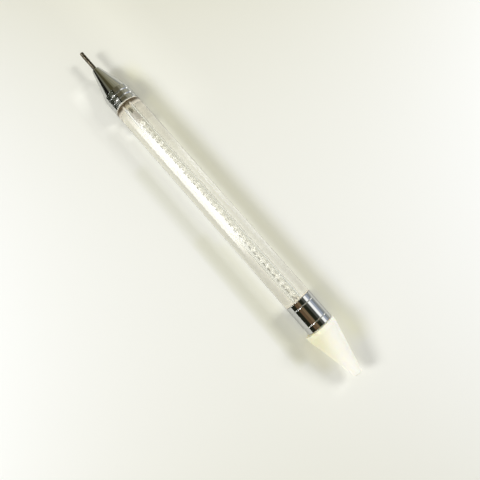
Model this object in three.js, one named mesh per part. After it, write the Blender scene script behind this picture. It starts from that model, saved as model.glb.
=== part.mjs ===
// Rhinestone picker: a clear handle filled with loose cut stones, a steel rod at one end
// and a screw-on wax head at the other. Millimetres, +Z up. The tool lies along X with the
// rod towards -X. The origin is on the resting line, under the middle of the clear handle.

import * as THREE from "three";

// Handle
const HANDLE_DIAMETER = 9;
const SIGHT_LENGTH = 81.2;
const BORE_DIAMETER = 2.3;
const CAP_WALL = 0.75;
const FRONT_TENON_LENGTH = 4.6;
const REAR_TENON_LENGTH = 5.2;
const BARREL_BEVEL = 0.12;

// Nose cap
const CONE_LENGTH = 11.05;
const NOSE_BAND_LENGTH = 5.5;
const MOUTH_DIAMETER = 2.76;
const MOUTH_BEVEL = 0.18;
const NOSE_GROOVE_WIDTH = 0.64;
const NOSE_GROOVE_DEPTH = 0.2;
const NOSE_GROOVES = 2;
const EDGE_BEVEL = 0.15;

// Steel rod
const ROD_DIAMETER = 1.3;
const ROD_REACH = 7.7;
const ROD_TAIL = 3.4;
const ROD_BEVEL = 0.12;

// Rear ferrule
const FERRULE_LENGTH = 10.1;
const FERRULE_GROOVE_WIDTH = 0.3;
const FERRULE_GROOVE_DEPTH = 0.13;
const FERRULE_GROOVE_INSET = 2.1;

// Loose stones and the plug in front of them
const PLUG_LENGTH = 3.2;
const STONE_COUNT = 36;
const STONE_PLAY = 0.1;
const STONE_SPACING = 0.14;
const TABLE_SIDES = 8;
const TABLE_SHARE = 0.56;
const CROWN_SHARE = 0.34;
const GIRDLE_SHARE = 0.08;
const PAVILION_SHARE = 0.78;
const SMALLEST_STONE_SHARE = 0.9;
const GOLDEN_SHARE = (Math.sqrt(5) - 1) / 2;
const STONE_TURNS = [2.4, 1.7, 3.1];

// Screw-on wax head
const RIM_DIAMETER = 10.33;
const RIM_LENGTH = 1.35;
const HEAD_LENGTH = 17.75;
const CROWN_DIAMETER = 3;
const CROWN_LENGTH = 0.75;
const RIM_BEVEL = 0.25;
const HEAD_SIDE_OFFSET = -0.56;
const HEAD_LEAN = -0.34;
const STUD_DIAMETER = 2.9;
const STUD_GRIP = 3.9;
const STUD_BEVEL = 0.25;
const STUD_ROOTING = 1.5;
const CORE_DIAMETER = 3.9;
const CORE_LENGTH = 6;
const COLLAR_DIAMETER = 4.5;
const COLLAR_LENGTH = 1.2;
const SOCKET_CLEARANCE = 0.075;
const SOCKET_END_ROOM = 0.2;
const INSERT_BEVEL = 0.1;

// Clearances: round the fits, at their ends, and under the head
const FIT_GAP = 0.05;
const END_GAP = 0.1;
const SEAT_GAP = 0.05;

// Facets round a turned piece: a multiple of four, so that one facet lies flat below
const SIDES = 48;
const SMALL_SIDES = 24;
const ARC_STEPS = 4;
const CROWN_STEPS = 5;

// Stations along the tool
const frontEnd = -SIGHT_LENGTH / 2;
const rearEnd = SIGHT_LENGTH / 2;
const shoulder = frontEnd - NOSE_BAND_LENGTH;
const mouth = shoulder - CONE_LENGTH;
const ferruleEnd = rearEnd + FERRULE_LENGTH;
const insertFace = rearEnd + REAR_TENON_LENGTH + END_GAP;
const headBase = ferruleEnd + SEAT_GAP;
const headTip = headBase + HEAD_LENGTH;
const rodTail = frontEnd + ROD_TAIL;
const plugStart = rodTail + END_GAP;
const plugEnd = plugStart + PLUG_LENGTH;

// Radii
const handleRadius = HANDLE_DIAMETER / 2;
const boreRadius = BORE_DIAMETER / 2;
const rodRadius = ROD_DIAMETER / 2;
const studRadius = STUD_DIAMETER / 2;
const coreRadius = CORE_DIAMETER / 2;
const collarRadius = COLLAR_DIAMETER / 2;
const rimRadius = RIM_DIAMETER / 2;
const socketRadius = handleRadius - CAP_WALL;
const tenonRadius = socketRadius - FIT_GAP;

// A facet's middle is nearer to the axis than its corners by this share
const facetDepth = Math.cos(Math.PI / SIDES);
const axisHeight = handleRadius * facetDepth;

// The head's rim lies on the same surface as the handle, so a wider rim sits higher
const headRise = (rimRadius - handleRadius) * facetDepth;

// Turns a profile about the tool's axis. Points are [station, radius], and run towards +X
// along the outside.
function turned(points, sides) {
  const profile = points.map(([station, radius]) => new THREE.Vector2(radius, station));
  const halfFacet = Math.PI / sides;
  const geometry = new THREE.LatheGeometry(profile, sides, halfFacet, 2 * Math.PI);
  const alongX = new THREE.Matrix4().set(0, 1, 0, 0, 0, 0, 1, 0, 1, 0, 0, 0, 0, 0, 0, 1);
  return geometry.applyMatrix4(alongX);
}

function closed(points) {
  return [...points, points[0]];
}

// A round-bottomed groove, as points of an arc from one edge to the other
function roundGroove(centre, width, depth, radius) {
  const points = [];
  for (let step = 0; step <= ARC_STEPS; step += 1) {
    const angle = (Math.PI * step) / ARC_STEPS;
    const station = centre - (width / 2) * Math.cos(angle);
    points.push([station, radius - depth * Math.sin(angle)]);
  }
  return points;
}

function veeGroove(centre, width, depth, radius) {
  return [
    [centre - width / 2, radius],
    [centre, radius - depth],
    [centre + width / 2, radius],
  ];
}

function material(color, roughness, metalness, opacity = 1) {
  const transparent = opacity < 1;
  return new THREE.MeshStandardMaterial({ color, roughness, metalness, opacity, transparent });
}

function piece(name, geometry, finish) {
  const mesh = new THREE.Mesh(geometry, finish);
  mesh.name = name;
  return mesh;
}

// The rod runs through the nose and ends just inside the handle's bore
function pickerRod() {
  const start = mouth - ROD_REACH;
  const points = [
    [start, 0],
    [start, rodRadius - ROD_BEVEL],
    [start + ROD_BEVEL, rodRadius],
    [rodTail, rodRadius],
    [rodTail, 0],
  ];
  return piece("picker_rod", turned(points, SMALL_SIDES), material(0x7a7264, 0.38, 1));
}

// One turned cap: a cone, a band with round grooves, and a skirt over the handle's tenon
function noseCap() {
  const mouthRadius = MOUTH_DIAMETER / 2;
  const grooveStep = NOSE_BAND_LENGTH / (NOSE_GROOVES + 1);
  const grooves = [];
  for (let index = 1; index <= NOSE_GROOVES; index += 1) {
    const centre = shoulder + index * grooveStep;
    grooves.push(...roundGroove(centre, NOSE_GROOVE_WIDTH, NOSE_GROOVE_DEPTH, handleRadius));
  }
  const skirtFloor = frontEnd - FRONT_TENON_LENGTH - END_GAP;
  const holeRadius = rodRadius + FIT_GAP;
  const points = closed([
    [mouth, holeRadius],
    [mouth, mouthRadius - MOUTH_BEVEL],
    [mouth + MOUTH_BEVEL, mouthRadius],
    [shoulder, handleRadius],
    ...grooves,
    [frontEnd - EDGE_BEVEL, handleRadius],
    [frontEnd, handleRadius - EDGE_BEVEL],
    [frontEnd, socketRadius],
    [skirtFloor, socketRadius],
    [skirtFloor, holeRadius],
  ]);
  return piece("nose_cap", turned(points, SIDES), material(0xb9bcb8, 0.08, 1));
}

// Clear barrel: full diameter where it shows, a tenon into each cap, and a narrow bore
function barrel() {
  const frontFace = frontEnd - FRONT_TENON_LENGTH;
  const rearFace = rearEnd + REAR_TENON_LENGTH;
  const points = closed([
    [frontFace, boreRadius],
    [frontFace, tenonRadius],
    [frontEnd, tenonRadius],
    [frontEnd, handleRadius - BARREL_BEVEL],
    [frontEnd + BARREL_BEVEL, handleRadius],
    [rearEnd - BARREL_BEVEL, handleRadius],
    [rearEnd, handleRadius - BARREL_BEVEL],
    [rearEnd, tenonRadius],
    [rearFace, tenonRadius],
    [rearFace, boreRadius],
  ]);
  return piece("barrel", turned(points, SIDES), material(0xf2f1ea, 0.04, 0, 0.3));
}

function borePlug() {
  const radius = boreRadius - FIT_GAP;
  const points = [
    [plugStart, 0],
    [plugStart, radius],
    [plugEnd, radius],
    [plugEnd, 0],
  ];
  return piece("bore_plug", turned(points, SMALL_SIDES), material(0xb5ada0, 0.8, 0));
}

// Sleeve over the rear tenon and the threaded insert, with a fine groove near each edge
function rearFerrule() {
  const grooveAt = (centre) =>
    veeGroove(centre, FERRULE_GROOVE_WIDTH, FERRULE_GROOVE_DEPTH, handleRadius);
  const points = closed([
    [rearEnd, socketRadius],
    [rearEnd, handleRadius - EDGE_BEVEL],
    [rearEnd + EDGE_BEVEL, handleRadius],
    ...grooveAt(rearEnd + FERRULE_GROOVE_INSET),
    ...grooveAt(ferruleEnd - FERRULE_GROOVE_INSET),
    [ferruleEnd - EDGE_BEVEL, handleRadius],
    [ferruleEnd, handleRadius - EDGE_BEVEL],
    [ferruleEnd, socketRadius],
  ]);
  return piece("rear_ferrule", turned(points, SIDES), material(0xb9bcb8, 0.06, 1));
}

// Bush in the ferrule's open end: its face closes the bore, its socket takes the stud
function ferruleInsert() {
  const holeRadius = studRadius + SOCKET_CLEARANCE;
  const socketFloor = ferruleEnd - STUD_GRIP - SOCKET_END_ROOM;
  const points = [
    [insertFace, 0],
    [insertFace, tenonRadius],
    [ferruleEnd - INSERT_BEVEL, tenonRadius],
    [ferruleEnd, tenonRadius - INSERT_BEVEL],
    [ferruleEnd, holeRadius],
    [socketFloor, holeRadius],
    [socketFloor, 0],
  ];
  return piece("ferrule_insert", turned(points, SIDES), material(0xb08d4f, 0.3, 1));
}

// A ring of points round a stone's own axis
function ring(count, radius, height) {
  const points = [];
  for (let index = 0; index < count; index += 1) {
    const angle = (2 * Math.PI * index) / count;
    points.push(radius * Math.cos(angle), radius * Math.sin(angle), height);
  }
  return points;
}

// A cut stone about its own centre: an eight-sided table, three crown facets to each of its
// sides, a thin girdle with twice as many sides, and a pavilion that ends in a point
function stoneGeometry(diameter) {
  const radius = diameter / 2;
  const girdle = (diameter * GIRDLE_SHARE) / 2;
  const girdleSides = 2 * TABLE_SIDES;
  const positions = [
    ...ring(TABLE_SIDES, radius * TABLE_SHARE, girdle + radius * CROWN_SHARE),
    ...ring(girdleSides, radius, girdle),
    ...ring(girdleSides, radius, -girdle),
    ...[0, 0, -girdle - radius * PAVILION_SHARE],
  ];
  const upper = (index) => TABLE_SIDES + (index % girdleSides);
  const lower = (index) => upper(index) + girdleSides;
  const point = TABLE_SIDES + 2 * girdleSides;
  const faces = [];
  for (let index = 1; index < TABLE_SIDES - 1; index += 1) {
    faces.push(0, index, index + 1);
  }
  for (let index = 0; index < TABLE_SIDES; index += 1) {
    const next = (index + 1) % TABLE_SIDES;
    faces.push(upper(2 * index), upper(2 * index + 1), index);
    faces.push(upper(2 * index + 1), next, index);
    faces.push(upper(2 * index + 1), upper(2 * index + 2), next);
  }
  for (let index = 0; index < girdleSides; index += 1) {
    faces.push(lower(index), lower(index + 1), upper(index + 1));
    faces.push(lower(index), upper(index + 1), upper(index));
    faces.push(point, lower(index + 1), lower(index));
  }
  const geometry = new THREE.BufferGeometry();
  geometry.setAttribute("position", new THREE.Float32BufferAttribute(positions, 3));
  geometry.setIndex(faces);
  return geometry;
}

// Loose stones lie one behind another along the bore, each turned its own way
function looseStones() {
  const group = new THREE.Group();
  const columnStart = plugEnd + END_GAP;
  const pitch = (insertFace - END_GAP - columnStart) / STONE_COUNT;
  const girdleReach = Math.hypot(1, GIRDLE_SHARE);
  const roomAcross = BORE_DIAMETER * facetDepth - 2 * STONE_PLAY;
  const largest = Math.min(roomAcross, pitch - STONE_SPACING) / girdleReach;
  const finish = material(0xf4f4f0, 0.05, 0, 0.6);
  for (let index = 0; index < STONE_COUNT; index += 1) {
    const variety = (index * GOLDEN_SHARE) % 1;
    const share = SMALLEST_STONE_SHARE + (1 - SMALLEST_STONE_SHARE) * variety;
    const name = `stone_${String(index + 1).padStart(2, "0")}`;
    const stone = piece(name, stoneGeometry(largest * share), finish);
    stone.position.set(columnStart + (index + 0.5) * pitch, 0, (-largest * (1 - share)) / 2);
    stone.rotation.set(STONE_TURNS[0] * index, STONE_TURNS[1] * index, STONE_TURNS[2] * variety);
    group.add(stone);
  }
  return group;
}

// Outside of the wax head, from rim to crown, as [station, radius]
function headOutline() {
  const crownRadius = CROWN_DIAMETER / 2;
  const crownStart = headTip - CROWN_LENGTH;
  const points = [
    [headBase, rimRadius - RIM_BEVEL],
    [headBase + RIM_BEVEL, rimRadius],
    [headBase + RIM_LENGTH, rimRadius],
  ];
  for (let step = 0; step < CROWN_STEPS; step += 1) {
    const angle = (Math.PI / 2) * (step / CROWN_STEPS);
    const station = crownStart + CROWN_LENGTH * Math.sin(angle);
    points.push([station, crownRadius * Math.cos(angle)]);
  }
  return points;
}

// The wax is moulded off centre and leans, while the hole for core and stud stays true
function waxTip() {
  const coreEnd = headBase + CORE_LENGTH;
  const collarStart = coreEnd - COLLAR_LENGTH - END_GAP;
  const holeEnd = coreEnd + STUD_ROOTING + END_GAP;
  const hole = [
    [holeEnd, 0],
    [holeEnd, studRadius + FIT_GAP],
    [coreEnd + END_GAP, studRadius + FIT_GAP],
    [coreEnd + END_GAP, collarRadius + FIT_GAP],
    [collarStart, collarRadius + FIT_GAP],
    [collarStart, coreRadius + FIT_GAP],
    [headBase, coreRadius + FIT_GAP],
  ];
  const profile = [...hole, ...headOutline(), [headTip, 0]];
  const geometry = turned(profile, SIDES);
  const places = geometry.attributes.position;
  for (let index = 0; index < places.count; index += 1) {
    const onOutside = index % profile.length >= hole.length;
    if (onOutside) {
      const along = (places.getX(index) - headBase) / HEAD_LENGTH;
      places.setY(index, places.getY(index) + HEAD_SIDE_OFFSET + HEAD_LEAN * along);
      places.setZ(index, places.getZ(index) + headRise);
    }
  }
  return piece("wax_tip", geometry, material(0xf3efdc, 0.55, 0));
}

// Threaded stud, at its thread's outer diameter, from the insert's socket into the wax
function tipStud() {
  const start = ferruleEnd - STUD_GRIP;
  const end = headBase + CORE_LENGTH + STUD_ROOTING;
  const points = [
    [start, 0],
    [start, studRadius - STUD_BEVEL],
    [start + STUD_BEVEL, studRadius],
    [end, studRadius],
    [end, 0],
  ];
  return piece("tip_stud", turned(points, SMALL_SIDES), material(0x9a9c9e, 0.3, 1));
}

// Round sleeve in the wax, with a collar at its inner end that keeps it from pulling out
function tipCore() {
  const end = headBase + CORE_LENGTH;
  const points = closed([
    [headBase, studRadius + FIT_GAP],
    [headBase, coreRadius],
    [end - COLLAR_LENGTH, coreRadius],
    [end - COLLAR_LENGTH, collarRadius],
    [end, collarRadius],
    [end, studRadius + FIT_GAP],
  ]);
  return piece("tip_core", turned(points, SIDES), material(0xe9e6de, 0.5, 0));
}

function handleAssembly() {
  const group = new THREE.Group();
  group.add(pickerRod(), noseCap(), barrel(), borePlug(), looseStones());
  group.add(rearFerrule(), ferruleInsert());
  return group;
}

function headAssembly() {
  const group = new THREE.Group();
  group.add(tipStud(), tipCore(), waxTip());
  return group;
}

const picker = new THREE.Group();
picker.add(handleAssembly(), headAssembly());
picker.position.z = axisHeight;

export default picker;
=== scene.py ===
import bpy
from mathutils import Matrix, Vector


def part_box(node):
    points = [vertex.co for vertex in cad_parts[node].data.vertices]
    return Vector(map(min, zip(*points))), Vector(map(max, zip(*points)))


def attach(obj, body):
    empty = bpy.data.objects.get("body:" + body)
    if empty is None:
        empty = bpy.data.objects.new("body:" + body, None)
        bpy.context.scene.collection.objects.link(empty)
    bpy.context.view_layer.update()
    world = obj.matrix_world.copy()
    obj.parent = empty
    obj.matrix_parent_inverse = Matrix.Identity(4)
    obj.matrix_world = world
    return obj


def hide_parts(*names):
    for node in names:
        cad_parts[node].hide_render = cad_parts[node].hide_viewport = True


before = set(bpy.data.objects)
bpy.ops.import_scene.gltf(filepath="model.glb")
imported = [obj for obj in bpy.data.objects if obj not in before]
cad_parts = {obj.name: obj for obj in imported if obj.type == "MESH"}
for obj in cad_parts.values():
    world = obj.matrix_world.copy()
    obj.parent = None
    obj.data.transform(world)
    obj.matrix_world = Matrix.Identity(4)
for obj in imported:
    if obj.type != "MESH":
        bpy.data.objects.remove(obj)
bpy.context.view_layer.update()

import math

import bmesh
import bpy
from mathutils import Euler, Matrix, Vector, noise

# A rhinestone picker that lies along X on a pale table, with its steel rod towards -X and its
# wax head towards +X. Lengths are in metres.
MM = 0.001
BLACK = (0, 0, 0)

# Camera
LENS = 34.275
SENSOR = 36
CAMERA_PLACE = Vector((30.27, -14.03, 143.74)) * MM
CAMERA_AZIMUTH = math.radians(49.035)
CAMERA_ELEVATION = math.radians(82)

# Fineness of the turned pieces
SOLID_SIDES = 48
SEGMENTS = 144
SMALL_SEGMENTS = 64
ROUNDING_STEPS = 4
STRIP_SHARE = 0.5
SHARP_ANGLE = math.radians(32)
SAME_PLACE = 1e-7

# Edges and clearances
EDGE_ROUNDING = 0.15 * MM
CHAMFER = 0.16 * MM
CHAMFER_ROUNDING = 0.02 * MM
FINE_ROUNDING = 0.06 * MM
FIT_GAP = 0.05 * MM
END_GAP = 0.1 * MM
GLUED = 0.01 * MM

# A cap's face is bare if its normal turns this far towards the handle, or this far inwards
TOWARDS_HANDLE = 0.99
INWARDS = 0.5

# Shade of the clear handle
SHADE_LEAN = math.radians(-5)
SHADE_EDGES = (0.8, 0.97)
SHADE_AT_RIM = 0.74
SHADE_COLOURS = ((1, 1, 0.99), (0.12, 0.115, 0.09))
RIM_SLANTS = (0.1, 0.6)

# Light that the clear handle pipes into the mouths of its caps
PIPED_DEPTHS = (0.3 * MM, 1.3 * MM)
PIPED_COLOURS = ((0.56, 0.54, 0.46), (0.02, 0.015, 0.01))

# The rod is paler inside the handle's mouth, a little less so over its last part, and the plug's
# lit end is behind it
LESS_PALE_END = 1.35 * MM
PALING_EDGE = 0.1 * MM
ROD_PALE_COLOUR = (0.95, 0.92, 0.82)
PALING_AT_END = 0.8
PLUG_END_GLOW = (0.34, 0.32, 0.27)

# Nose
NOSE_BAND_LENGTH = 5.5 * MM
MOUTH_RADIUS = 1.38 * MM
NOSE_GROOVES = 2

# A groove's width, its depth and the rounding of its bottom, in nose and ferrule
NOSE_GROOVE = (0.64 * MM, 0.174 * MM, 0.05 * MM)
FERRULE_GROOVE = (0.34 * MM, 0.13 * MM, 0.07 * MM)
FERRULE_GROOVE_INSET = 2.1 * MM

# Stud, its thread and the core round it
THREAD_PITCH = 0.5 * MM
THREAD_DEPTH = 0.25 * MM
THREAD_FLAT = 0.1
SOCKET_THREAD_DEPTH = 0.27 * MM
SOCKET_CLEARANCE = 0.075 * MM
SOCKET_END_ROOM = 0.2 * MM
THREAD_STEPS = 8
STUD_BEVEL = 0.25 * MM
COLLAR_STEP = 0.3 * MM
COLLAR_LENGTH = 1.2 * MM

# Cut stones: their row in the bore, then their forms as shares of a stone's radius
STONE_COUNT = 36
STONE_PLAY = 0.1 * MM
STONE_SPACING = 0.14 * MM
STONE_TURNS = (2.4, 1.7, 3.1)
GOLDEN_SHARE = (math.sqrt(5) - 1) / 2
SMALLEST_STONE_SHARE = 0.9
TABLE_SIDES = 8
STONE_SHARES = {
    "Table": 0.56,
    "Crown": 0.34,
    "Girdle": 0.08,
    "Pavilion": 0.78,
}
STAR_RADIUS = 0.79
STAR_SHARE_OF_CROWN = 0.52
LOWER_RADIUS = 0.5
LOWER_DEPTH_SHARE = 0.52
POINT_RADIUS = 0.03
STONE_SEED = 7
# A faint painted glow that brightens the stones
STONE_GLOW = (0.075, 0.073, 0.066)

# Wax head
HEAD_SIDE_OFFSET = -0.56 * MM
HEAD_LEAN = -0.34 * MM
WAX_RIM_LENGTH = 1.35 * MM
WAX_RIM_ROUNDING = 0.25 * MM
WAX_CROWN_RADIUS = 1.5 * MM
WAX_CROWN_LENGTH = 0.75 * MM
WAX_STEPS = 48
WAX_CROWN_STEPS = 12
WAX_SOFTNESS = 0.03 * MM
WAX_WAVES_PER_METRE = 420
# Painted light on the wax: its colour goes from a shaded copy to a lit copy towards one side and
# its end, with a faint painted glow on the lit side
WAX_LIGHT_DIRECTION = (0.35, 1, 0)
WAX_LIT_REACH = (14.2 * MM, 21.2 * MM)
SHADED_SIDE_WAX = ((0.875, 0.832, 0.585), (0.893, 0.855, 0.627))
LIT_SIDE_WAX = ((0.985, 0.97, 0.86), (0.998, 0.985, 0.89))
WAX_PAINTED_GLOW = (0.065, 0.06, 0.045)


def low(node):
    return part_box(node)[0]


def high(node):
    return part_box(node)[1]


def half_width(node):
    """A turned node's radius: its facets lie flat at the sides, a little inside that radius."""
    return (high(node).y - low(node).y) / 2 / math.cos(math.pi / SOLID_SIDES)


# Height of the tool's axis and radii about it, read from the frame
axis_height = (low("nose_cap").z + high("nose_cap").z) / 2
handle_radius = half_width("nose_cap")
tenon_radius = half_width("ferrule_insert")
rim_radius = half_width("wax_tip")
collar_radius = half_width("tip_core")
core_radius = collar_radius - COLLAR_STEP
bore_radius = half_width("bore_plug") + FIT_GAP
rod_radius = half_width("picker_rod")
stud_radius = half_width("tip_stud")


def make_camera():
    """The camera looks steeply down at the tool, which lies from upper left to lower right."""
    data = bpy.data.cameras.new("camera")
    data.lens = LENS
    data.sensor_width = SENSOR
    data.clip_start = MM
    camera = bpy.data.objects.new("camera", data)
    across = Vector((math.cos(CAMERA_AZIMUTH), math.sin(CAMERA_AZIMUTH), 0))
    level = Vector((across.y, -across.x, 0)) * math.cos(CAMERA_ELEVATION)
    back = level + Vector((0, 0, math.sin(CAMERA_ELEVATION)))
    turn = Matrix((across, back.cross(across), back)).transposed()
    camera.matrix_world = Matrix.Translation(CAMERA_PLACE) @ turn.to_4x4()
    bpy.context.scene.collection.objects.link(camera)
    bpy.context.scene.camera = camera


def rounded(corners, closed=True):
    """Outline points from corners of (station, radius, rounding); a rounded corner is an arc.

    A narrow straight strip on both sides of an arc keeps the shading of long faces even.
    """
    points = []
    ends = () if closed else (0, len(corners) - 1)
    for index, (station, radius, rounding) in enumerate(corners):
        here = Vector((station, radius))
        if rounding == 0 or index in ends:
            points.append(here)
            continue
        to_last = (Vector(corners[index - 1][:2]) - here).normalized()
        to_next = (Vector(corners[(index + 1) % len(corners)][:2]) - here).normalized()
        half = to_last.angle(to_next) / 2
        centre = here + (to_last + to_next).normalized() * (rounding / math.sin(half))
        reach = rounding / math.tan(half)
        start = here + to_last * reach - centre
        end = here + to_next * reach - centre
        points.append(centre + start + to_last * rounding * STRIP_SHARE)
        for step in range(ROUNDING_STEPS + 1):
            spoke = start.lerp(end, step / ROUNDING_STEPS).normalized() * rounding
            points.append(centre + spoke)
        points.append(centre + end + to_next * rounding * STRIP_SHARE)
    return points


def groove(centre, width, depth, bottom):
    """A V-shaped groove with a rounded bottom, as corners from one edge to the other."""
    return [
        (centre - width / 2, handle_radius, CHAMFER_ROUNDING),
        (centre, handle_radius - depth, bottom),
        (centre + width / 2, handle_radius, CHAMFER_ROUNDING),
    ]


def on_axis(index, station, angle, radius):
    """A place on a turned surface. The angle is from the top, towards +Y."""
    return Vector((station, radius * math.sin(angle), axis_height + radius * math.cos(angle)))


def turned(name, points, segments=SEGMENTS, closed=True, place_at=on_axis):
    """Turns an outline of (station, radius) about the tool's axis, by way of place_at."""
    rings = []
    places = []
    for index, (station, radius) in enumerate(points):
        count = segments if radius > SAME_PLACE else 1
        rings.append([len(places) + step % count for step in range(segments)])
        for step in range(count):
            places.append(place_at(index, station, 2 * math.pi * step / segments, radius))
    faces = []
    for index in range(len(rings) if closed else len(rings) - 1):
        ring = rings[index]
        after = rings[(index + 1) % len(rings)]
        for step in range(segments):
            side = (step + 1) % segments
            corners = dict.fromkeys([ring[step], ring[side], after[side], after[step]])
            if len(corners) > 2:
                faces.append(list(corners))
    mesh = bpy.data.meshes.new(name)
    mesh.from_pydata(places, [], faces)
    tidy(mesh)
    piece = bpy.data.objects.new(name, mesh)
    bpy.context.scene.collection.objects.link(piece)
    return piece


def apply_modifiers(piece):
    """Replaces a piece's mesh by the one that its modifiers make."""
    evaluated = piece.evaluated_get(bpy.context.evaluated_depsgraph_get())
    piece.data = bpy.data.meshes.new_from_object(evaluated)
    piece.data.name = piece.name
    piece.modifiers.clear()


def tidy(mesh):
    """Faces point outwards, and shade smooth where the surface is round and sharp at edges."""
    form = bmesh.new()
    form.from_mesh(mesh)
    bmesh.ops.remove_doubles(form, verts=form.verts, dist=SAME_PLACE)
    bmesh.ops.recalc_face_normals(form, faces=form.faces)
    for face in form.faces:
        face.smooth = True
    form.to_mesh(mesh)
    form.free()
    mesh.set_sharp_from_angle(angle=SHARP_ANGLE)


def stand_for(piece, body, slot, *nodes):
    """The piece moves with a body and stands for plain solids. The slot is not used."""
    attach(piece, body)
    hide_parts(*nodes)


def pin(name, node, front_rounding, rear_rounding):
    """A plain round pin with the size and place of a node."""
    start = low(node).x
    end = high(node).x
    radius = half_width(node)
    corners = [
        (start, 0, 0),
        (start, radius, front_rounding),
        (end, radius, rear_rounding),
        (end, 0, 0),
    ]
    return turned(name, rounded(corners, closed=False), SMALL_SEGMENTS, closed=False)


def make_rod():
    rod = pin("steel_rod", "picker_rod", EDGE_ROUNDING, FINE_ROUNDING)
    stand_for(rod, "handle", "rod_steel", "picker_rod")
    rod.data.materials.append(drawn_steel())


def make_plug():
    plug = pin("rubber_plug", "bore_plug", FINE_ROUNDING, FINE_ROUNDING)
    stand_for(plug, "handle", "plug_rubber", "bore_plug")
    plug.data.materials.append(grey_rubber())


def nose_grooves():
    """Where the nose's grooves are along the tool."""
    share = NOSE_BAND_LENGTH / (NOSE_GROOVES + 1)
    return [high("nose_cap").x - index * share for index in range(NOSE_GROOVES, 0, -1)]


def make_nose(plating, bare_inside):
    """One turned cap: a cone, a grooved band, and a skirt over the handle's tenon."""
    end = high("nose_cap").x
    band = end - NOSE_BAND_LENGTH
    hole = rod_radius + FIT_GAP
    socket = tenon_radius - GLUED
    socket_floor = low("barrel").x - END_GAP
    corners = [
        (low("nose_cap").x, hole, 0),
        (low("nose_cap").x, MOUTH_RADIUS, EDGE_ROUNDING),
        (band, handle_radius, FINE_ROUNDING),
    ]
    for centre in nose_grooves():
        corners += groove(centre, *NOSE_GROOVE)
    corners += [
        (end - CHAMFER, handle_radius, CHAMFER_ROUNDING),
        (end, handle_radius - CHAMFER, CHAMFER_ROUNDING),
        (end, socket, 0),
        (socket_floor, socket, 0),
        (socket_floor, hole, 0),
    ]
    nose = turned("nose", rounded(corners))
    stand_for(nose, "handle", "chrome", "nose_cap")
    plate(nose, plating, bare_inside)


def make_ferrule(plating, bare_inside):
    start = low("rear_ferrule").x
    end = high("rear_ferrule").x
    socket = tenon_radius - GLUED
    corners = [
        (start, socket, 0),
        (start, handle_radius - CHAMFER, CHAMFER_ROUNDING),
        (start + CHAMFER, handle_radius, CHAMFER_ROUNDING),
    ]
    for centre in (start + FERRULE_GROOVE_INSET, end - FERRULE_GROOVE_INSET):
        corners += groove(centre, *FERRULE_GROOVE)
    corners += [
        (end - CHAMFER, handle_radius, CHAMFER_ROUNDING),
        (end, handle_radius - CHAMFER, CHAMFER_ROUNDING),
        (end, socket, 0),
    ]
    ferrule = turned("ferrule", rounded(corners))
    stand_for(ferrule, "handle", "chrome", "rear_ferrule")
    plate(ferrule, plating, bare_inside)


def plate(piece, plating, bare_inside):
    """Plating covers a cap's outside; its inside and the end that meets the handle are bare."""
    piece.data.materials.append(plating)
    piece.data.materials.append(bare_inside)
    for face in piece.data.polygons:
        outwards = Vector((0, face.center.y, face.center.z - axis_height)).normalized()
        meets_handle = face.normal.x * face.center.x < -TOWARDS_HANDLE * abs(face.center.x)
        face.material_index = int(meets_handle or face.normal.dot(outwards) < -INWARDS)


def make_handle():
    """The clear handle: full width where it shows, a tenon into each cap, a narrow bore."""
    front = high("nose_cap").x - GLUED
    rear = low("rear_ferrule").x + GLUED
    corners = [
        (low("barrel").x, bore_radius, 0),
        (low("barrel").x, tenon_radius, FINE_ROUNDING),
        (front, tenon_radius, 0),
        (front, handle_radius, FINE_ROUNDING),
        (rear, handle_radius, FINE_ROUNDING),
        (rear, tenon_radius, 0),
        (high("barrel").x, tenon_radius, FINE_ROUNDING),
        (high("barrel").x, bore_radius, 0),
    ]
    handle = turned("clear_handle", rounded(corners))
    stand_for(handle, "handle", "clear_acrylic", "barrel")
    handle.data.materials.append(clear_acrylic())


def thread_height(station, angle):
    """How high a right-handed thread stands at a place: 0 at its root, 1 at its flat crest."""
    turn = station / THREAD_PITCH - angle / (2 * math.pi)
    ramp = abs(turn % 1 * 2 - 1)
    return min(max((ramp - THREAD_FLAT) / (1 - 2 * THREAD_FLAT), 0), 1)


def thread_stations(start, end):
    count = round((end - start) / THREAD_PITCH * THREAD_STEPS)
    return [start + (end - start) * step / count for step in range(count + 1)]


def make_bush():
    """Turned bush in the ferrule: its thread's ridges stand in from the wall of its hole."""
    start = low("ferrule_insert").x
    end = high("ferrule_insert").x
    hole = stud_radius + SOCKET_CLEARANCE
    floor = low("tip_stud").x - SOCKET_END_ROOM
    points = rounded([
        (start, 0, 0),
        (start, tenon_radius, FINE_ROUNDING),
        (end, tenon_radius, EDGE_ROUNDING),
        (end, hole, 0),
    ], closed=False)
    stations = thread_stations(floor, end)
    ridged = range(len(points) - 1, len(points) - 1 + len(stations))
    points += [Vector((station, hole)) for station in reversed(stations[:-1])]
    points.append(Vector((floor, 0)))

    def threaded(index, station, angle, radius):
        if index in ridged:
            fade = min(end - station, station - floor, THREAD_PITCH) / THREAD_PITCH
            ridge = thread_height(station + THREAD_PITCH / 2, angle)
            radius -= SOCKET_THREAD_DEPTH * fade * ridge
        return on_axis(index, station, angle, radius)

    bush = turned("threaded_bush", points, SMALL_SEGMENTS, closed=False, place_at=threaded)
    stand_for(bush, "handle", "brass", "ferrule_insert")
    bush.data.materials.append(turned_brass())


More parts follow.
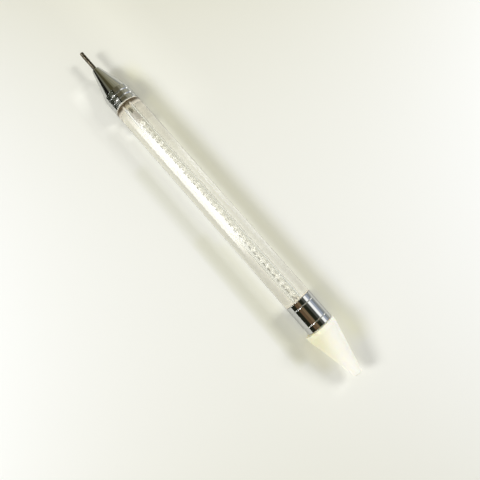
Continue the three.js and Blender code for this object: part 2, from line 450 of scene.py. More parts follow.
def make_stud():
    """Steel stud: threaded where it screws in, plain where the wax holds it."""
    start = low("tip_stud").x
    end = high("tip_stud").x
    stations = thread_stations(start + STUD_BEVEL, low("wax_tip").x)
    points = [Vector((start, 0)), Vector((start, stud_radius - STUD_BEVEL))]
    points += [Vector((station, stud_radius)) for station in stations]
    points += [Vector((end, stud_radius)), Vector((end, 0))]
    ridged = range(2, 2 + len(stations))

    def threaded(index, station, angle, radius):
        if index in ridged:
            radius -= THREAD_DEPTH * (1 - thread_height(station, angle))
        return on_axis(index, station, angle, radius)

    stud = turned("threaded_stud", points, SMALL_SEGMENTS, closed=False, place_at=threaded)
    stand_for(stud, "wax_head", "stud_steel", "tip_stud")
    stud.data.materials.append(zinc_steel())


def make_core():
    """The moulded sleeve that the wax is cast round, with a collar at its inner end."""
    start = low("tip_core").x
    end = high("tip_core").x
    collar = end - COLLAR_LENGTH
    hole = stud_radius + FIT_GAP
    corners = [
        (start, hole, FINE_ROUNDING),
        (start, core_radius, FINE_ROUNDING),
        (collar, core_radius, 0),
        (collar, collar_radius, FINE_ROUNDING),
        (end, collar_radius, FINE_ROUNDING),
        (end, hole, 0),
    ]
    core = turned("moulded_core", rounded(corners), SMALL_SEGMENTS)
    stand_for(core, "head_core", "core_plastic", "tip_core")
    core.data.materials.append(moulded_plastic())


def wax_outline():
    """Outside of the wax, from its rim to its blunt crown."""
    crown = Vector((high("wax_tip").x - WAX_CROWN_LENGTH, WAX_CROWN_RADIUS))
    start = low("wax_tip").x
    points = rounded([
        (start, collar_radius, 0),
        (start, rim_radius, WAX_RIM_ROUNDING),
        (start + WAX_RIM_LENGTH, rim_radius, WAX_RIM_ROUNDING),
        (crown.x, crown.y, 0),
    ], closed=False)
    points.pop()
    shoulder = points[-1]
    for step in range(1, WAX_STEPS):
        points.append(shoulder.lerp(crown, step / WAX_STEPS))
    for step in range(WAX_CROWN_STEPS + 1):
        angle = math.pi / 2 * step / WAX_CROWN_STEPS
        station = crown.x + WAX_CROWN_LENGTH * math.sin(angle)
        points.append(Vector((station, WAX_CROWN_RADIUS * math.cos(angle))))
    return points


def make_wax():
    """The wax cone leans a little to one side of its true hole and has a soft surface."""
    start = low("wax_tip").x
    length = high("wax_tip").x - start
    rise = (low("wax_tip").z + high("wax_tip").z) / 2 - axis_height
    core_end = high("tip_core").x + END_GAP
    collar = high("tip_core").x - COLLAR_LENGTH - END_GAP
    hole_end = high("tip_stud").x + END_GAP
    hole = [
        Vector((hole_end, 0)),
        Vector((hole_end, stud_radius + FIT_GAP)),
        Vector((core_end, stud_radius + FIT_GAP)),
        Vector((core_end, collar_radius + FIT_GAP)),
        Vector((collar, collar_radius + FIT_GAP)),
        Vector((collar, core_radius + FIT_GAP)),
        Vector((start, core_radius + FIT_GAP)),
    ]

    def moulded(index, station, angle, radius):
        if index < len(hole):
            return on_axis(index, station, angle, radius)
        along = (station - start) / length
        offset = Vector((0, HEAD_SIDE_OFFSET + HEAD_LEAN * along, rise))
        place = on_axis(index, station, angle, radius)
        softness = (1 + noise.noise(place * WAX_WAVES_PER_METRE)) * WAX_SOFTNESS / 2
        return on_axis(index, station, angle, max(radius - softness, 0)) + offset

    wax = turned("wax_cone", hole + wax_outline(), closed=False, place_at=moulded)
    stand_for(wax, "wax_head", "wax", "wax_tip")
    wax.data.materials.append(cream_wax())


def stone_points():
    """One point for each stone along the bore, with the stone's turn and radius."""
    start = high("bore_plug").x + END_GAP
    pitch = (low("ferrule_insert").x - END_GAP - start) / STONE_COUNT
    room = 2 * bore_radius * math.cos(math.pi / SOLID_SIDES) - 2 * STONE_PLAY
    girdle_reach = math.hypot(1, STONE_SHARES["Girdle"])
    largest = min(room, pitch - STONE_SPACING) / girdle_reach / 2
    places = []
    turns = []
    radii = []
    for index in range(STONE_COUNT):
        variety = index * GOLDEN_SHARE % 1
        share = SMALLEST_STONE_SHARE + (1 - SMALLEST_STONE_SHARE) * variety
        sag = largest * (1 - share)
        places.append((start + (index + 0.5) * pitch, 0, axis_height - sag))
        turn = Euler(
            (STONE_TURNS[0] * index, STONE_TURNS[1] * index, STONE_TURNS[2] * variety), "ZYX"
        )
        turns += turn.to_matrix().to_euler("XYZ")
        radii.append(largest * share)
    mesh = bpy.data.meshes.new("stone_points")
    mesh.from_pydata(places, [], [])
    mesh.attributes.new("turn", "FLOAT_VECTOR", "POINT").data.foreach_set("vector", turns)
    mesh.attributes.new("reach", "FLOAT", "POINT").data.foreach_set("value", radii)
    return mesh


def give(tree, socket, value):
    """Gives an input an output to follow, or a plain value."""
    if isinstance(value, bpy.types.NodeSocket):
        tree.links.new(value, socket)
    elif socket.type == "RGBA":
        socket.default_value = (*value, 1)
    else:
        socket.default_value = value


def feed(tree, node, **values):
    """Gives a node's inputs, by name, outputs to follow or plain values."""
    for name, value in values.items():
        give(tree, node.inputs[name.replace("_", " ")], value)


def add(tree, kind, **settings):
    """A node of a kind, with its properties and, under a socket's name, its inputs."""
    node = tree.nodes.new(kind)
    for name, value in settings.items():
        if hasattr(node, name):
            setattr(node, name, value)
        else:
            give(tree, node.inputs[name.replace("_", " ")], value)
    return node


def calculate(tree, operation, *values):
    """A Math node on outputs or plain numbers; returns its output."""
    node = add(tree, "ShaderNodeMath", operation=operation)
    for socket, value in zip(node.inputs, values):
        give(tree, socket, value)
    return node.outputs[0]


def stone_ring(tree, sides, radius, height, turn=0):
    """A level ring of points of a unit stone, from outputs or plain numbers."""
    circle = add(tree, "GeometryNodeMeshCircle", Vertices=sides, Radius=radius)
    lift = add(tree, "ShaderNodeCombineXYZ", Z=height)
    place = add(tree, "GeometryNodeTransform", Geometry=circle.outputs["Mesh"],
                Translation=lift.outputs["Vector"], Rotation=(0, 0, turn))
    return place.outputs["Geometry"]


def stone_tree():
    """Cuts a stone as the hull of level rings, and sets one on each point of the bore."""
    tree = bpy.data.node_groups.new("stones_along_bore", "GeometryNodeTree")
    tree.interface.new_socket("Geometry", in_out="OUTPUT", socket_type="NodeSocketGeometry")
    inputs = {"Geometry": "Geometry", "Table Sides": "Int", **dict.fromkeys(STONE_SHARES, "Float"),
              "Seed": "Int", "Material": "Material"}
    for label, kind in inputs.items():
        tree.interface.new_socket(label, in_out="INPUT", socket_type=f"NodeSocket{kind}")
    given = add(tree, "NodeGroupInput").outputs
    half_step = math.pi / TABLE_SIDES
    sides = given["Table Sides"]
    girdle = given["Girdle"]
    girdle_sides = calculate(tree, "MULTIPLY", sides, 2)
    crown_top = calculate(tree, "ADD", girdle, given["Crown"])
    star_rise = calculate(tree, "MULTIPLY_ADD", given["Crown"], STAR_SHARE_OF_CROWN, girdle)
    below = calculate(tree, "MULTIPLY", girdle, -1)
    point = calculate(tree, "SUBTRACT", below, given["Pavilion"])
    depth = calculate(tree, "ADD", below, point)
    lower = calculate(tree, "MULTIPLY", depth, LOWER_DEPTH_SHARE)
    rings = [
        stone_ring(tree, sides, given["Table"], crown_top),
        stone_ring(tree, sides, STAR_RADIUS, star_rise, half_step),
        stone_ring(tree, girdle_sides, 1, girdle),
        stone_ring(tree, girdle_sides, 1, below),
        stone_ring(tree, sides, LOWER_RADIUS, lower, half_step),
        stone_ring(tree, sides, POINT_RADIUS, point),
    ]
    joined = add(tree, "GeometryNodeJoinGeometry")
    for ring in rings:
        tree.links.new(ring, joined.inputs["Geometry"])
    hull = add(tree, "GeometryNodeConvexHull", Geometry=joined.outputs["Geometry"])
    turn = add(tree, "GeometryNodeInputNamedAttribute", data_type="FLOAT_VECTOR", Name="turn")
    reach = add(tree, "GeometryNodeInputNamedAttribute", data_type="FLOAT", Name="reach")
    facing = add(tree, "FunctionNodeEulerToRotation", Euler=turn.outputs["Attribute"])
    stones = add(tree, "GeometryNodeInstanceOnPoints", Points=given["Geometry"],
                 Instance=hull.outputs["Convex Hull"], Rotation=facing.outputs["Rotation"],
                 Scale=reach.outputs["Attribute"])
    tint = add(tree, "FunctionNodeRandomValue", data_type="FLOAT", Seed=given["Seed"])
    stored = add(tree, "GeometryNodeStoreNamedAttribute", data_type="FLOAT", domain="INSTANCE",
                 Name="tint", Value=tint.outputs[1], Geometry=stones.outputs["Instances"])
    solid = add(tree, "GeometryNodeRealizeInstances", Geometry=stored.outputs["Geometry"])
    faceted = add(tree, "GeometryNodeSetShadeSmooth", Geometry=solid.outputs["Geometry"],
                  Shade_Smooth=False)
    finished = add(tree, "GeometryNodeSetMaterial", Geometry=faceted.outputs["Geometry"],
                   Material=given["Material"])
    add(tree, "NodeGroupOutput", Geometry=finished.outputs["Geometry"])
    return tree


def make_stones():
    """Loose cut stones, one behind another along the bore."""
    stones = bpy.data.objects.new("cut_stones", stone_points())
    bpy.context.scene.collection.objects.link(stones)
    tree = stone_tree()
    modifier = stones.modifiers.new("stones", "NODES")
    modifier.node_group = tree
    values = {"Table Sides": TABLE_SIDES, "Seed": STONE_SEED, "Material": cut_stone()}
    values.update(STONE_SHARES)
    for item in tree.interface.items_tree:
        if item.name in values:
            modifier[item.identifier] = values[item.name]
    apply_modifiers(stones)
    nodes = [f"stone_{index + 1:02d}" for index in range(STONE_COUNT)]
    stand_for(stones, "handle", "cut_stone", *nodes)


def shader_group(name, inputs, outputs):
    """A shader node group with named numbers in, by their plain values, and named numbers out."""
    tree = bpy.data.node_groups.new(name, "ShaderNodeTree")
    for label, value in inputs.items():
        socket = tree.interface.new_socket(label, in_out="INPUT", socket_type="NodeSocketFloat")
        socket.default_value = value
    for label in outputs:
        tree.interface.new_socket(label, in_out="OUTPUT", socket_type="NodeSocketFloat")
    return tree, add(tree, "NodeGroupInput").outputs, add(tree, "NodeGroupOutput")


def map_range(tree, value, start, end, lowest=0, highest=1, interpolation_type="LINEAR"):
    """Maps a value from one range on to another, and holds it at both ends."""
    node = add(tree, "ShaderNodeMapRange", interpolation_type=interpolation_type)
    for socket, given in zip(node.inputs, (value, start, end, lowest, highest)):
        give(tree, socket, given)
    return node.outputs["Result"]


def spread(tree, mask, lowest, highest):
    return map_range(tree, mask, 0, 1, lowest, highest)


def soft_step(tree, value, start, end):
    return map_range(tree, value, start, end, interpolation_type="SMOOTHSTEP")


def object_place(tree):
    return add(tree, "ShaderNodeTexCoord").outputs["Object"]


def axes(tree, vector):
    return add(tree, "ShaderNodeSeparateXYZ", Vector=vector).outputs


def reach_along(tree, direction):
    """How far a place lies along a direction."""
    reach = add(tree, "ShaderNodeVectorMath", operation="DOT_PRODUCT", Vector=object_place(tree))
    reach.inputs[1].default_value = direction
    return reach.outputs["Value"]


# A Mix node's inputs for its mask and its two colours
MIX_INPUTS = (0, 6, 7)


def blend_colours(tree, mask, first, second, blend_type="MIX"):
    """Mixes two colours, outputs or plain ones, by a mask."""
    node = add(tree, "ShaderNodeMix", data_type="RGBA", blend_type=blend_type)
    for index, value in zip(MIX_INPUTS, (mask, first, second)):
        give(tree, node.inputs[index], value)
    return node.outputs[2]


SCRATCH_SCALE = 0.11
SCRATCH_EDGE = 0.05


def tool_marks():
    """Fine marks that run along or round the tool, soft patches, and a few thin scratches."""
    tree, given, result = shader_group(
        "tool_marks",
        {"Along": 100, "Across": 3000, "Patch Size": 300, "Scratch Level": 0.7},
        ("Streaks", "Patches", "Scratches"),
    )
    place = object_place(tree)
    across = given["Across"]
    grain = add(tree, "ShaderNodeCombineXYZ", X=given["Along"], Y=across, Z=across)
    stretched = add(tree, "ShaderNodeVectorMath", operation="MULTIPLY", Vector=place)
    tree.links.new(grain.outputs["Vector"], stretched.inputs[1])
    marked = stretched.outputs["Vector"]
    streaks = add(tree, "ShaderNodeTexNoise", Vector=marked, Scale=1, Detail=3)
    patches = add(tree, "ShaderNodeTexNoise", Vector=place, Scale=given["Patch Size"], Detail=2)
    sparse = add(tree, "ShaderNodeTexNoise", Vector=marked, Scale=SCRATCH_SCALE, Detail=1)
    level = given["Scratch Level"]
    edge = calculate(tree, "ADD", level, SCRATCH_EDGE)
    feed(
        tree, result,
        Streaks=streaks.outputs["Fac"],
        Patches=patches.outputs["Fac"],
        Scratches=map_range(tree, sparse.outputs["Fac"], level, edge),
    )
    return tree


MARKS = tool_marks()


def new_material(name, **settings):
    """A material with one Principled shader, whose plain values are set by socket name."""
    material = bpy.data.materials.new(name)
    material.use_nodes = True
    tree = material.node_tree
    shader = tree.nodes["Principled BSDF"]
    feed(tree, shader, **settings)
    return material, tree, shader


def marks(tree, **sizes):
    """The shared tool marks with a material's own sizes."""
    return add(tree, "ShaderNodeGroup", node_tree=MARKS, **sizes).outputs


def relief(tree, height, depth):
    """Turns a height from 0 to 1 into relief of a real depth."""
    return add(tree, "ShaderNodeBump", Distance=depth, Height=height).outputs["Normal"]


def drawn_steel():
    """Drawn steel, dull where it shows, and paler in the handle's mouth."""
    material, tree, shader = new_material("drawn_steel", Metallic=1)
    worn = marks(tree, Along=150, Across=9000, Patch_Size=900)
    steel = blend_colours(tree, worn["Patches"], (0.10, 0.085, 0.06), (0.15, 0.13, 0.095))
    along = axes(tree, object_place(tree))["X"]
    to_less_pale_end = calculate(tree, "SUBTRACT", high("picker_rod").x - LESS_PALE_END, along)
    in_mouth = calculate(tree, "SUBTRACT", along, low("barrel").x)
    # The rod's colour turns paler inside the handle's mouth, a little less so over its last part
    paling = map_range(tree, to_less_pale_end, 0, PALING_EDGE, PALING_AT_END, 1)
    paling = calculate(tree, "MULTIPLY", paling, map_range(tree, in_mouth, 0, PALING_EDGE))
    feed(
        tree, shader,
        Base_Color=blend_colours(tree, paling, steel, ROD_PALE_COLOUR),
        Roughness=spread(tree, worn["Patches"], 0.2, 0.32),
        Normal=relief(tree, worn["Streaks"], 0.004 * MM),
    )
    return material


def chrome_plating():
    material, tree, shader = new_material("chrome_plating", Metallic=1)
    worn = marks(tree, Along=16000, Across=120, Patch_Size=260, Scratch_Level=0.66)
    smudges = spread(tree, worn["Patches"], 0.03, 0.1)
    feed(
        tree, shader,
        Base_Color=blend_colours(tree, worn["Patches"], (0.74, 0.75, 0.74), (0.82, 0.82, 0.80)),
        Roughness=calculate(tree, "MULTIPLY_ADD", worn["Scratches"], 0.12, smudges),
        Normal=relief(tree, worn["Streaks"], 0.0006 * MM),
    )
    return material


def bare_brass_inside():
    """Bare metal inside the caps, with a glow at their mouths from the handle's piped light."""
    material, tree, shader = new_material("bare_brass_inside", Emission_Strength=1)
    worn = marks(tree, Along=9000, Across=200, Patch_Size=700)
    station = calculate(tree, "ABSOLUTE", axes(tree, object_place(tree))["X"])
    near, deep = [low("rear_ferrule").x + depth for depth in PIPED_DEPTHS]
    feed(
        tree, shader,
        Base_Color=blend_colours(tree, worn["Patches"], (0.46, 0.38, 0.26), (0.56, 0.48, 0.35)),
        Emission_Color=blend_colours(tree, soft_step(tree, station, near, deep), *PIPED_COLOURS),
        Roughness=spread(tree, worn["Streaks"], 0.4, 0.6),
    )
    return material


def turned_brass():
    material, tree, shader = new_material("turned_brass", Metallic=1)
    worn = marks(tree, Along=12000, Across=200, Patch_Size=500)
    feed(
        tree, shader,
        Base_Color=blend_colours(tree, worn["Patches"], (0.56, 0.41, 0.19), (0.70, 0.54, 0.28)),
        Roughness=spread(tree, worn["Patches"], 0.22, 0.38),
        Normal=relief(tree, worn["Streaks"], 0.003 * MM),
    )
    return material


def zinc_steel():
    material, tree, shader = new_material("zinc_steel", Metallic=1)
    worn = marks(tree, Along=1500, Across=1500, Patch_Size=800)
    feed(
        tree, shader,
        Base_Color=blend_colours(tree, worn["Patches"], (0.47, 0.48, 0.50), (0.60, 0.61, 0.62)),
        Roughness=spread(tree, worn["Patches"], 0.25, 0.4),
        Normal=relief(tree, worn["Streaks"], 0.004 * MM),
    )
    return material


def grey_rubber():
    """Rubber, with a glow on its inner end from the light that the clear handle pipes to it."""
    material, tree, shader = new_material("grey_rubber", Emission_Strength=1)
    worn = marks(tree, Along=2500, Across=2500, Patch_Size=900)
    end = high("bore_plug").x
    at_end = map_range(tree, axes(tree, object_place(tree))["X"], end - FINE_ROUNDING, end)
    feed(
        tree, shader,
        Base_Color=blend_colours(tree, worn["Patches"], (0.62, 0.58, 0.50), (0.72, 0.68, 0.60)),
        Emission_Color=blend_colours(tree, at_end, BLACK, PLUG_END_GLOW),
        Roughness=spread(tree, worn["Streaks"], 0.7, 0.9),
        Normal=relief(tree, worn["Streaks"], 0.01 * MM),
    )
    return material


def moulded_plastic():
    material, tree, shader = new_material("moulded_plastic")
    worn = marks(tree, Along=1800, Across=1800, Patch_Size=500)
    feed(
        tree, shader,
        Base_Color=blend_colours(tree, worn["Patches"], (0.84, 0.82, 0.76), (0.89, 0.87, 0.81)),
        Roughness=spread(tree, worn["Streaks"], 0.42, 0.55),
        Normal=relief(tree, worn["Streaks"], 0.005 * MM),
    )
    return material


def cream_wax():
    """Cream wax, painted paler and with a faint painted glow towards its lit side and its end."""
    material, tree, shader = new_material(
        "cream_wax",
        Subsurface_Weight=0.35,
        Subsurface_Radius=(1.0, 0.75, 0.4),
        Subsurface_Scale=1.6 * MM,
        IOR=1.44,
        Emission_Strength=1,
    )
    worn = marks(tree, Along=700, Across=700, Patch_Size=260)
    # Painted light: a shaded copy of the wax's colour on one side, and a lit copy with a painted
    # glow towards the lit side and the end
    pale = soft_step(tree, reach_along(tree, WAX_LIGHT_DIRECTION), *WAX_LIT_REACH)
    shaded_wax = blend_colours(tree, worn["Patches"], *SHADED_SIDE_WAX)
    lit_wax = blend_colours(tree, worn["Patches"], *LIT_SIDE_WAX)
    feed(
        tree, shader,
        Base_Color=blend_colours(tree, pale, shaded_wax, lit_wax),
        Emission_Color=blend_colours(tree, pale, BLACK, WAX_PAINTED_GLOW),
        Roughness=spread(tree, worn["Patches"], 0.42, 0.58),
        Normal=relief(tree, worn["Streaks"], 0.02 * MM),
    )
    return material


def rim_mask(tree):
    """Where a clear piece is seen at a slant."""
    return soft_step(tree, add(tree, "ShaderNodeLayerWeight").outputs["Facing"], *RIM_SLANTS)


def side_mask(tree):
    """The handle's +Y side, from which a clear round rod throws the light on to its middle."""
    direction = Vector((0, math.cos(SHADE_LEAN), math.sin(SHADE_LEAN)))
    edges = [axis_height * direction.z + share * handle_radius for share in SHADE_EDGES]
    return soft_step(tree, reach_along(tree, direction), *edges)


def let_lamps_through(tree, shader, tint):
    """Lets the lamps' light through a clear piece, by a tint."""
    path = add(tree, "ShaderNodeLightPath")
    open_side = add(tree, "ShaderNodeBsdfTransparent", Color=tint)
    mixed = add(tree, "ShaderNodeMixShader", Fac=path.outputs["Is Shadow Ray"])
    tree.links.new(shader.outputs["BSDF"], mixed.inputs[1])
    tree.links.new(open_side.outputs["BSDF"], mixed.inputs[2])
    feed(tree, tree.nodes["Material Output"], Surface=mixed.outputs["Shader"])


def clear_acrylic():
    material, tree, shader = new_material(
        "clear_acrylic", Transmission_Weight=1, IOR=1.49, Roughness=0.01
    )
    worn = marks(tree, Along=60, Across=5000, Patch_Size=150)
    feed(
        tree, shader,
        Base_Color=blend_colours(tree, worn["Patches"], (0.95, 0.95, 0.92), (0.985, 0.985, 0.965)),
        Normal=relief(tree, worn["Scratches"], 0.001 * MM),
    )
    rim = calculate(tree, "MULTIPLY", rim_mask(tree), SHADE_AT_RIM)
    shade = calculate(tree, "MAXIMUM", rim, side_mask(tree))
    let_lamps_through(tree, shader, blend_colours(tree, shade, *SHADE_COLOURS))
    return material


def cut_stone():
    material, tree, shader = new_material(
        "cut_stone", Transmission_Weight=0.92, IOR=1.5, Roughness=0, Emission_Strength=1,
        Emission_Color=STONE_GLOW
    )
    tint = add(tree, "ShaderNodeAttribute", attribute_name="tint").outputs["Fac"]
    colour = blend_colours(tree, tint, (0.92, 0.92, 0.89), (1.0, 1.0, 0.985))
    feed(tree, shader, Base_Color=colour)
    shade = blend_colours(tree, rim_mask(tree), (0.98, 0.98, 0.97), (0.93, 0.93, 0.91))
    let_lamps_through(tree, shader, shade)
    return material


# The room, as pale and dark patches by their angle to the side and their tilt along the tool
ROOM_COLOUR = (0.60, 0.59, 0.54)
ROOM_PATCHES = (
    # side from, side to, tilt from, tilt to, softness, colour (degrees from straight up)
    (-93, 34, 0, 25, 6, (0.016, 0.018, 0.010)),
    (-54, -31, 0, 25, 6, (0.14, 0.088, 0.048)),
    (-31, -11, 0, 25, 5, (0.20, 0.14, 0.08)),
    (16, 37, 0, 25, 8, (0.09, 0.092, 0.08)),
    (38, 60, 0, 25, 6, (1.15, 1.16, 1.16)),
    (60, 77, 0, 25, 8, (0.42, 0.46, 0.56)),
    (76, 92, 0, 25, 8, (0.24, 0.27, 0.31)),
    (-97, 40, -90, -24, 7, (0.06, 0.06, 0.042)),
    (-97, 97, 25, 45, 5, (0.09, 0.09, 0.065)),
    (-92, -59, -44, -24, 6, (0.03, 0.034, 0.021)),
    (-63, -28, -44, -24, 8, (0.10, 0.105, 0.078)),
    (-24, -12, -44, -24, 4, (0.024, 0.024, 0.013)),
    (-10, 38, -44, -24, 6, (0.12, 0.108, 0.066)),
    (36, 66, -90, -24, 14, (0.21, 0.197, 0.125)),
    (66, 92, -90, -24, 14, (0.34, 0.325, 0.235)),
    (-98, -33, -90, -40, 6, (0.009, 0.009, 0.007)),
    (-60, -31, -90, -49, 9, (0.16, 0.158, 0.115)),
    (-30, 12, -90, -44, 10, (0.078, 0.07, 0.034)),
    (12, 34, -90, -44, 14, (0.21, 0.195, 0.12)),
    (34, 62, -90, -46, 14, (0.28, 0.27, 0.19)),
    (-180, 180, -95, -76, 4, (0.75, 0.74, 0.67)),
)

# Lights that only polished surfaces show, laid over the room
WINDOW_PATCHES = (
    (-84, -15, -25, -5, 3, (8, 8, 7.9)),
    (-52, -24, -22, -8, 3, (22, 22, 21.5)),
    (-58, -33, -43, -36.5, 1.5, (9, 9, 8.8)),
    (53, 66, -43, -36.5, 1.5, (1.8, 1.8, 1.7)),
    (82, 100, -10, 1, 3, (2, 2, 1.95)),
    (82, 100, -18, -10, 3, (5.5, 5.5, 5.3)),
)

# Light that falls on the object, and the room as the camera itself sees it
SOFT_LIGHT = (0.41, 0.41, 0.405)
FAR_COLOUR = (0.90, 0.89, 0.82)

# Seen through a stone in its handle, the room is paler
STONE_DEPTH = 4.5
ROOM_IN_STONES = (0.86, 0.85, 0.79)
PALED_SHARE = 0.9

# Below this, a ray has no depth of a kind
NO_DEPTH = 0.5

# A patch's edge lies in the middle of its soft ramp
HALF_RAMP = 0.5


def room_patch():
    """A soft-edged patch of the room between two side angles and two tilts."""
    names = ("Side", "Tilt", "Side From", "Side To", "Tilt From", "Tilt To", "Softness")
    tree, given, result = shader_group("room_patch", dict.fromkeys(names, 0), ("Mask",))
    mask = 1
    for angle in ("Side", "Tilt"):
        for edge, sign in (("From", 1), ("To", -1)):
            past = calculate(tree, "SUBTRACT", given[angle], given[f"{angle} {edge}"])
            inside = calculate(tree, "MULTIPLY", past, sign)
            share = calculate(tree, "DIVIDE", inside, given["Softness"])
            ramp = map_range(tree, share, -HALF_RAMP, HALF_RAMP)
            mask = calculate(tree, "MULTIPLY", mask, ramp)
    feed(tree, result, Mask=mask)
    return tree


def lay_patches(tree, patches, side, tilt, seen, share=1):
    """Lays patches over what is seen so far, each by its mask times a share."""
    patch = bpy.data.node_groups.get("room_patch") or room_patch()
    for *limits, shade in patches:
        mask = add(tree, "ShaderNodeGroup", node_tree=patch)
        for socket, value in zip(mask.inputs, (side, tilt, *limits)):
            give(tree, socket, value)
        factor = calculate(tree, "MULTIPLY", mask.outputs["Mask"], share)
        seen = blend_colours(tree, factor, seen, shade)
    return seen


def straight_mirror(tree, path):
    """Whether a ray was mirrored, and didn't pass through a clear piece."""
    unbent = calculate(tree, "LESS_THAN", path["Transmission Depth"], NO_DEPTH)
    return calculate(tree, "MULTIPLY", path["Is Glossy Ray"], unbent)


def make_world():
    """Even soft light on the object; shiny and clear surfaces see the room's patches."""
    world = bpy.data.worlds.new("room")
    bpy.context.scene.world = world
    world.use_nodes = True
    tree = world.node_tree
    direction = add(tree, "ShaderNodeTexCoord").outputs["Generated"]
    along, across, up = axes(tree, direction)
    side = calculate(tree, "DEGREES", calculate(tree, "ARCTAN2", across, up))
    tilt = calculate(tree, "DEGREES", calculate(tree, "ARCSINE", along))
    path = add(tree, "ShaderNodeLightPath").outputs
    shiny = calculate(tree, "MAXIMUM", path["Is Glossy Ray"], path["Is Transmission Ray"])
    unspread = calculate(tree, "LESS_THAN", path["Diffuse Depth"], NO_DEPTH)
    mirrored = calculate(tree, "MULTIPLY", straight_mirror(tree, path), unspread)
    in_stones = calculate(tree, "GREATER_THAN", path["Transmission Depth"], STONE_DEPTH)
    paled = calculate(tree, "MULTIPLY", in_stones, PALED_SHARE)
    seen = lay_patches(tree, ROOM_PATCHES, side, tilt, ROOM_COLOUR)
    seen = lay_patches(tree, WINDOW_PATCHES, side, tilt, seen, mirrored)
    seen = blend_colours(tree, paled, seen, ROOM_IN_STONES)
    seen = blend_colours(tree, calculate(tree, "MULTIPLY", shiny, unspread), SOFT_LIGHT, seen)
    seen = blend_colours(tree, path["Is Camera Ray"], seen, FAR_COLOUR)
    feed(tree, tree.nodes["Background"], Color=seen)


LAMP_DISTANCE = 0.6
LAMP_SIZE = 0.2
LAMPS = (
    # name, side from straight up and tilt along the tool in degrees, power
    ("right_lamp", 47, 5, 1.5),
    ("left_lamp", -48, -11, 1.85),
)


def make_lamps():
    """Two soft lamps, which polished and clear surfaces don't show."""
    for name, side, tilt, power in LAMPS:
        data = bpy.data.lights.new(name, "AREA")
        data.shape = "DISK"
        data.size = LAMP_SIZE
        data.energy = power
        lamp = bpy.data.objects.new(name, data)
        side = math.radians(side)
        tilt = math.radians(tilt)
        upright = Vector((0, math.sin(side), math.cos(side)))
        outwards = Vector((math.sin(tilt), 0, 0)) + upright * math.cos(tilt)
        lamp.location = outwards * LAMP_DISTANCE
        lamp.rotation_mode = "QUATERNION"
        lamp.rotation_quaternion = outwards.to_track_quat("Z", "Y")
        lamp.visible_glossy = False
        lamp.visible_transmission = False
        bpy.context.scene.collection.objects.link(lamp)


# Streak of light that the clear handle gathers on the table
STREAK_MIDDLE = 0.3 * MM
STREAK_EDGES = (1.5 * MM, 0.5 * MM)
STREAK_END = 2.6 * MM
STREAK_COLOUR = (0.45, 0.435, 0.375)

# Table, with its middle and span in the camera's turned frame. Its tone is a level plus shares
# of across, upwards, their squares and their product.
FLOOR_REACH = 3.0
FLOOR_MIDDLE = (0.015, -0.001, 0)
FLOOR_SPAN = 0.075
FLOOR_HOLD = 1.3
FLOOR_LEVEL = 0.878
FLOOR_SHARES = (0.0094, -0.0192, 0.0681, -0.0563, 0.0487)
FLOOR_RANGE = 0.1
FLOOR_COLOURS = ((0.775, 0.765, 0.655), (0.96, 0.965, 0.94))

# Light and shade that the tool throws on the table, as patches in millimetres
THROWN_LIGHT = (
    # across from, across to, along from, along to, softness, colour
    (8, 22, -99, -28, 12, (0.045, 0.045, 0.04)),
    (-5.6, -3.8, -36, 42, 2, (0.1, 0.1, 0.095)),
    (-6.8, -4.2, -38.5, -33.5, 2, (0.18, 0.18, 0.17)),
    (-9.5, -5, 66, 70, 4, (0.08, 0.08, 0.078)),
    (-11, -3, -58, -40, 4, (0.14, 0.14, 0.13)),
)
THROWN_SHADE = (
    (5, 11, -54, 62, 5, (1.03, 1.02, 0.9)),
    (3, 6.5, -56, -42, 3, (0.86, 0.85, 0.8)),
    (6, 9.5, -48, -42, 3, (0.89, 0.88, 0.82)),
    (-9, -5.5, 12, 60, 4, (0.98, 0.975, 0.89)),
    (-12.5, -8, -24, 56, 3, (0.93, 0.93, 0.88)),
    (-12.5, -8, 6, 56, 3, (0.89, 0.885, 0.8)),
    (-8.5, -4.5, 51, 63, 3, (0.92, 0.91, 0.84)),
    (0.76, 3, -24, -20, 0.35, (0.9, 0.9, 0.87)),
    (0.76, 3, -42, -24, 0.35, (0.78, 0.765, 0.725)),
    (0.76, 3, -42, -34, 0.35, (0.66, 0.63, 0.58)),
)

# How the table looks in a polished surface: darker, with the room beyond its edges, and with a
# window's light beside the clear handle
IN_METAL = 0.74
BEYOND_TABLE = (
    (-900, -29, -900, -15, 6, (0.03, 0.034, 0.022)),
    (29, 900, -900, 900, 6, (0.33, 0.34, 0.32)),
    (5, 29, -44, -29, 3, (0.3, 0.29, 0.26)),
    (7, 900, -19, 28, 6, (0.55, 0.55, 0.53)),
    (12, 900, -19, 28, 6, (1.4, 1.4, 1.36)),
    (7, 900, -19, 3, 6, (0.5, 0.5, 0.49)),
    (14, 900, -24, 0, 6, (1.8, 1.8, 1.75)),
    (31, 900, -42, -6, 8, (1.5, 1.5, 1.45)),
)


def floor_tone(tree, place):
    """Where the table is pale: its tone swells along one diagonal and sinks along the other."""
    framed = add(tree, "ShaderNodeMapping", vector_type="TEXTURE", Vector=place,
                 Location=FLOOR_MIDDLE, Rotation=(0, 0, CAMERA_AZIMUTH), Scale=[FLOOR_SPAN] * 3)
    across, upwards = [
        add(tree, "ShaderNodeClamp", Value=way, Min=-FLOOR_HOLD, Max=FLOOR_HOLD).outputs[0]
        for way in axes(tree, framed.outputs[0])[:2]
    ]
    pairs = ((across, across), (upwards, upwards), (across, upwards))
    products = [calculate(tree, "MULTIPLY", *pair) for pair in pairs]
    tone = FLOOR_LEVEL
    for term, share in zip((across, upwards, *products), FLOOR_SHARES):
        tone = calculate(tree, "MULTIPLY_ADD", term, share, tone)
    return map_range(tree, tone, FLOOR_LEVEL - FLOOR_RANGE, FLOOR_LEVEL + FLOOR_RANGE)


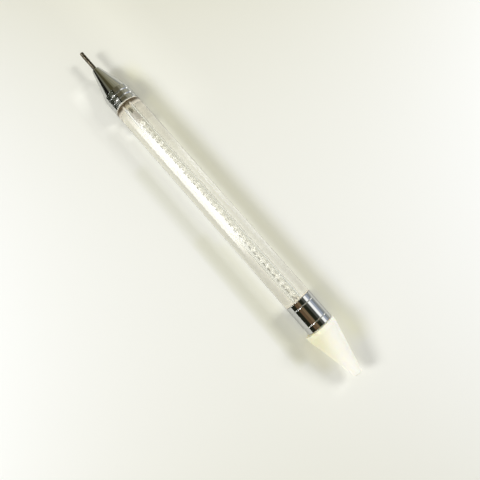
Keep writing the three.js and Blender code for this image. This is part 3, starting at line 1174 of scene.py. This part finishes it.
def pale_table():
    """Pale table paper, with the light and shade that the tool throws on it."""
    material, tree, shader = new_material(
        "pale_table", Roughness=0.9, Specular_IOR_Level=0, Emission_Strength=1
    )
    place = object_place(tree)
    in_mm = add(tree, "ShaderNodeVectorMath", operation="SCALE", Vector=place, Scale=1 / MM)
    along, across = axes(tree, in_mm.outputs[0])[:2]
    tone = floor_tone(tree, place)
    shade = lay_patches(tree, THROWN_SHADE, across, along, (1, 1, 1))
    paper = blend_colours(tree, tone, *FLOOR_COLOURS)
    paper = blend_colours(tree, 1, paper, shade, blend_type="MULTIPLY")
    dark = [[IN_METAL * value for value in colour] for colour in FLOOR_COLOURS]
    in_metal = blend_colours(tree, tone, *dark)
    in_metal = lay_patches(tree, BEYOND_TABLE, across, along, in_metal)
    light = lay_patches(tree, THROWN_LIGHT, across, along, gathered_light(tree, place))
    mirrored = straight_mirror(tree, add(tree, "ShaderNodeLightPath").outputs)
    colour = blend_colours(tree, mirrored, paper, in_metal)
    feed(tree, shader, Base_Color=colour, Emission_Color=light)
    return material


def gathered_light(tree, place):
    """The round clear handle gathers light into a soft streak on the table right under it."""
    along, across = axes(tree, place)[:2]
    off_middle = calculate(tree, "ABSOLUTE", calculate(tree, "SUBTRACT", across, STREAK_MIDDLE))
    width = soft_step(tree, off_middle, *STREAK_EDGES)
    end = low("rear_ferrule").x
    length = soft_step(tree, calculate(tree, "ABSOLUTE", along), end + STREAK_END, end)
    mask = calculate(tree, "MULTIPLY", width, length)
    return blend_colours(tree, mask, BLACK, STREAK_COLOUR)


def make_floor():
    """A pale table that the round handle rests on."""
    level = axis_height - handle_radius
    mesh = bpy.data.meshes.new("table")
    corners = [(-1, -1), (1, -1), (1, 1), (-1, 1)]
    mesh.from_pydata([(x * FLOOR_REACH, y * FLOOR_REACH, level) for x, y in corners], [],
                     [(0, 1, 2, 3)])
    table = bpy.data.objects.new("table", mesh)
    bpy.context.scene.collection.objects.link(table)
    table.data.materials.append(pale_table())


def main():
    make_camera()
    plating = chrome_plating()
    bare_inside = bare_brass_inside()
    make_rod()
    make_nose(plating, bare_inside)
    make_handle()
    make_plug()
    make_stones()
    make_ferrule(plating, bare_inside)
    make_bush()
    make_stud()
    make_core()
    make_wax()
    make_floor()
    make_lamps()
    make_world()
    bpy.context.scene.view_settings.view_transform = "Standard"


main()
